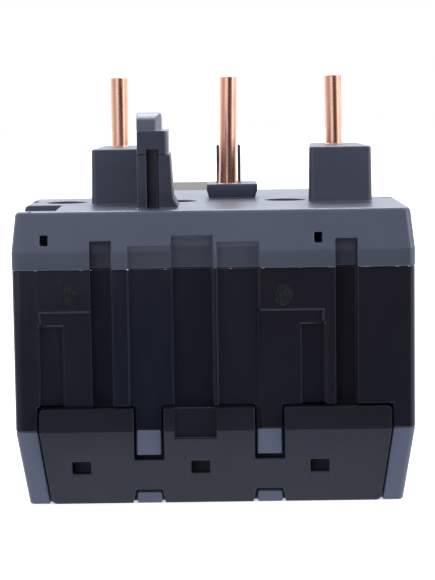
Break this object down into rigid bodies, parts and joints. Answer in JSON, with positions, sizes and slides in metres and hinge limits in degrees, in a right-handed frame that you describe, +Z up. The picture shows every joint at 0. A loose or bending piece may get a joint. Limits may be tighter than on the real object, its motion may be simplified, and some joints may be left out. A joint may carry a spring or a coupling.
{
  "type": "thermal overload relay",
  "caption": "Thermal overload relay with copper pins that plug into a contactor, box-clamp load terminals and a control head with dial, stop and reset.",
  "frame": {"origin": "middle of the bottom face of the whole relay", "axes": "+X across the poles, +Y from the mounting side shown in the picture to the operator's side, +Z up along the contactor pins"},
  "size_m": [0.0754, 0.1, 0.0805],
  "materials": {
    "cover_plastic": "fine-grained moulded blue-grey",
    "base_plastic": "fine-grained moulded light blue-grey",
    "housing_plastic": "polished black thermoset",
    "plate_plastic": "coarse-grained dark grey",
    "block_plastic": "black, satin",
    "ivory_plastic": "ivory, slightly translucent",
    "dial_plastic": "white, satin",
    "red_plastic": "red, satin",
    "yellow_plastic": "yellow, satin",
    "blue_plastic": "blue, satin",
    "flag_plastic": "orange, matte",
    "lever_plastic": "natural polyamide",
    "copper": "drawn copper, satin",
    "tinned_copper": "copper strap, satin",
    "brass": "stamped brass",
    "heater_ribbon": "resistance ribbon, oxidised",
    "bimetal_strip": "rolled bimetal",
    "zinc_steel": "zinc plated",
    "spring_steel": "drawn spring wire",
    "contact_silver": "silver contact"
  },
  "bodies": {
    "body": {"aux_plate_1": "brass", "aux_plate_2": "brass", "aux_plate_3": "brass", "aux_plate_4": "brass", "aux_terminal_block": "block_plastic", "bimetal_holder_left": "zinc_steel", "bimetal_holder_middle": "zinc_steel", "bimetal_holder_right": "zinc_steel", "calibration_screws": "zinc_steel", "control_head": "cover_plastic", "fixed_contact": "contact_silver", "heater_left": "heater_ribbon", "heater_middle": "heater_ribbon", "heater_right": "heater_ribbon", "housing_screws": "zinc_steel", "line_pin_left": "copper", "line_pin_middle": "copper", "line_pin_right": "copper", "load_bar_left": "tinned_copper", "load_bar_middle": "tinned_copper", "load_bar_right": "tinned_copper", "main_housing": "housing_plastic", "rear_plate": "plate_plastic", "reset_spring": "spring_steel", "stop_spring": "spring_steel", "terminal_base": "base_plastic", "test_spring": "spring_steel", "top_cover": "cover_plastic"},
    "bimetal_left": {"bimetal_left": "bimetal_strip"},
    "clamp_left": {"clamp_left": "zinc_steel"},
    "power_screw_left": {"power_screw_left": "zinc_steel"},
    "bimetal_middle": {"bimetal_middle": "bimetal_strip"},
    "clamp_middle": {"clamp_middle": "zinc_steel"},
    "power_screw_middle": {"power_screw_middle": "zinc_steel"},
    "bimetal_right": {"bimetal_right": "bimetal_strip"},
    "clamp_right": {"clamp_right": "zinc_steel"},
    "power_screw_right": {"power_screw_right": "zinc_steel"},
    "aux_washer_1": {"aux_washer_1": "zinc_steel"},
    "aux_screw_1": {"aux_screw_1": "zinc_steel"},
    "aux_washer_2": {"aux_washer_2": "zinc_steel"},
    "aux_screw_2": {"aux_screw_2": "zinc_steel"},
    "aux_washer_3": {"aux_washer_3": "zinc_steel"},
    "aux_screw_3": {"aux_screw_3": "zinc_steel"},
    "aux_washer_4": {"aux_washer_4": "zinc_steel"},
    "aux_screw_4": {"aux_screw_4": "zinc_steel"},
    "push_bar": {"trip_push_bar": "lever_plastic"},
    "return_bar": {"trip_return_bar": "lever_plastic"},
    "trip_lever": {"trip_lever": "lever_plastic", "compensation_strip": "bimetal_strip"},
    "contact_lever": {"contact_lever": "lever_plastic", "moving_contact": "contact_silver"},
    "dial": {"setting_dial": "dial_plastic", "setting_cam": "lever_plastic"},
    "dial_cover": {"dial_cover": "ivory_plastic"},
    "stop_button": {"stop_button": "red_plastic"},
    "test_button": {"test_button": "yellow_plastic"},
    "reset_selector": {"reset_selector": "cover_plastic"},
    "reset_button": {"reset_button": "blue_plastic"},
    "trip_flag": {"trip_flag": "flag_plastic"}
  },
  "joints": [
    {"name": "trip_push", "type": "slide", "parent": "body", "child": "push_bar", "axis": [1, 0, 0], "range_m": [0, 0.002], "stiffness_N_per_m": 200, "springref_m": -0.0005},
    {"name": "trip_return", "type": "slide", "parent": "body", "child": "return_bar", "axis": [1, 0, 0], "range_m": [0, 0.00201]},
    {"name": "bimetal_left_bend", "type": "hinge", "parent": "body", "child": "bimetal_left", "pos_m": [-0.0274, -0.029, 0.042], "axis": [0, -1, 0], "range_deg": [0, 5.26]},
    {"name": "bimetal_middle_bend", "type": "hinge", "parent": "body", "child": "bimetal_middle", "pos_m": [-0.0054, -0.029, 0.042], "axis": [0, -1, 0], "range_deg": [0, 5.26]},
    {"name": "bimetal_right_bend", "type": "hinge", "parent": "body", "child": "bimetal_right", "pos_m": [0.0166, -0.029, 0.042], "axis": [0, -1, 0], "range_deg": [0, 5.26]},
    {"name": "trip_lever_rock", "type": "hinge", "parent": "body", "child": "trip_lever", "pos_m": [0.0332, 0, 0.04], "axis": [0, -1, 0], "range_deg": [0, 5.78]},
    {"name": "contact_tilt", "type": "hinge", "parent": "body", "child": "contact_lever", "pos_m": [0.008, 0.0245, 0.0376], "axis": [0, 1, 0], "range_deg": [0, 6.35]},
    {"name": "trip_flag_rise", "type": "slide", "parent": "body", "child": "trip_flag", "axis": [0, 0, 1], "range_m": [0, 0.00252]},
    {"name": "clamp_left_rise", "type": "slide", "parent": "body", "child": "clamp_left", "axis": [0, 1, 0], "range_m": [0, 0.006]},
    {"name": "power_screw_left_turn", "type": "hinge", "parent": "body", "child": "power_screw_left", "pos_m": [-0.0189, 0.033, 0.01], "axis": [0, -1, 0], "range_deg": [0, 2161]},
    {"name": "clamp_middle_rise", "type": "slide", "parent": "body", "child": "clamp_middle", "axis": [0, 1, 0], "range_m": [0, 0.006]},
    {"name": "power_screw_middle_turn", "type": "hinge", "parent": "body", "child": "power_screw_middle", "pos_m": [0.0031, 0.033, 0.01], "axis": [0, -1, 0], "range_deg": [0, 2161]},
    {"name": "clamp_right_rise", "type": "slide", "parent": "body", "child": "clamp_right", "axis": [0, 1, 0], "range_m": [0, 0.006]},
    {"name": "power_screw_right_turn", "type": "hinge", "parent": "body", "child": "power_screw_right", "pos_m": [0.0251, 0.033, 0.01], "axis": [0, -1, 0], "range_deg": [0, 2161]},
    {"name": "aux_washer_1_press", "type": "slide", "parent": "body", "child": "aux_washer_1", "axis": [0, -1, 0], "range_m": [0, 0.0022]},
    {"name": "aux_screw_1_turn", "type": "hinge", "parent": "aux_washer_1", "child": "aux_screw_1", "pos_m": [-0.02475, 0.042, 0.027], "axis": [0, -1, 0], "range_deg": [0, 1321]},
    {"name": "aux_washer_2_press", "type": "slide", "parent": "body", "child": "aux_washer_2", "axis": [0, -1, 0], "range_m": [0, 0.0022]},
    {"name": "aux_screw_2_turn", "type": "hinge", "parent": "aux_washer_2", "child": "aux_screw_2", "pos_m": [-0.00825, 0.042, 0.027], "axis": [0, -1, 0], "range_deg": [0, 1321]},
    {"name": "aux_washer_3_press", "type": "slide", "parent": "body", "child": "aux_washer_3", "axis": [0, -1, 0], "range_m": [0, 0.0022]},
    {"name": "aux_screw_3_turn", "type": "hinge", "parent": "aux_washer_3", "child": "aux_screw_3", "pos_m": [0.00825, 0.042, 0.027], "axis": [0, -1, 0], "range_deg": [0, 1321]},
    {"name": "aux_washer_4_press", "type": "slide", "parent": "body", "child": "aux_washer_4", "axis": [0, -1, 0], "range_m": [0, 0.0022]},
    {"name": "aux_screw_4_turn", "type": "hinge", "parent": "aux_washer_4", "child": "aux_screw_4", "pos_m": [0.02475, 0.042, 0.027], "axis": [0, -1, 0], "range_deg": [0, 1321]},
    {"name": "dial_turn", "type": "hinge", "parent": "body", "child": "dial", "pos_m": [-0.0044, 0.047, 0.043], "axis": [0, -1, 0], "range_deg": [-150, 150]},
    {"name": "dial_cover_open", "type": "hinge", "parent": "body", "child": "dial_cover", "pos_m": [-0.0044, 0.0468, 0.0546], "axis": [1, 0, 0], "range_deg": [0, 110]},
    {"name": "stop_press", "type": "slide", "parent": "body", "child": "stop_button", "axis": [0, -1, 0], "range_m": [0, 0.002], "stiffness_N_per_m": 400, "springref_m": -0.001, "deforming": ["stop_spring"]},
    {"name": "test_press", "type": "slide", "parent": "body", "child": "test_button", "axis": [0, -1, 0], "range_m": [0, 0.002], "stiffness_N_per_m": 300, "springref_m": -0.001, "deforming": ["test_spring"]},
    {"name": "reset_selector_turn", "type": "hinge", "parent": "body", "child": "reset_selector", "pos_m": [-0.0215, 0.047, 0.043], "axis": [0, -1, 0], "range_deg": [0, 90]},
    {"name": "reset_press", "type": "slide", "parent": "reset_selector", "child": "reset_button", "axis": [0, -1, 0], "range_m": [0, 0.0025], "stiffness_N_per_m": 400, "springref_m": -0.001, "deforming": ["reset_spring"]}
  ],
  "couplings": [
    {"joint": "trip_return", "follows": "trip_push", "ratio": 1},
    {"joint": "bimetal_left_bend", "follows": "trip_push", "rad_per_m": 45.455},
    {"joint": "bimetal_middle_bend", "follows": "trip_push", "rad_per_m": 45.455},
    {"joint": "bimetal_right_bend", "follows": "trip_push", "rad_per_m": 45.455},
    {"joint": "trip_lever_rock", "follows": "trip_push", "rad_per_m": 50},
    {"joint": "contact_tilt", "follows": "trip_push", "rad_per_m": 55},
    {"joint": "trip_flag_rise", "follows": "trip_push", "ratio": 1.25},
    {"joint": "power_screw_left_turn", "follows": "clamp_left_rise", "rad_per_m": 6283.2},
    {"joint": "power_screw_middle_turn", "follows": "clamp_middle_rise", "rad_per_m": 6283.2},
    {"joint": "power_screw_right_turn", "follows": "clamp_right_rise", "rad_per_m": 6283.2},
    {"joint": "aux_screw_1_turn", "follows": "aux_washer_1_press", "rad_per_m": 10472},
    {"joint": "aux_screw_2_turn", "follows": "aux_washer_2_press", "rad_per_m": 10472},
    {"joint": "aux_screw_3_turn", "follows": "aux_washer_3_press", "rad_per_m": 10472},
    {"joint": "aux_screw_4_turn", "follows": "aux_washer_4_press", "rad_per_m": 10472}
  ]
}
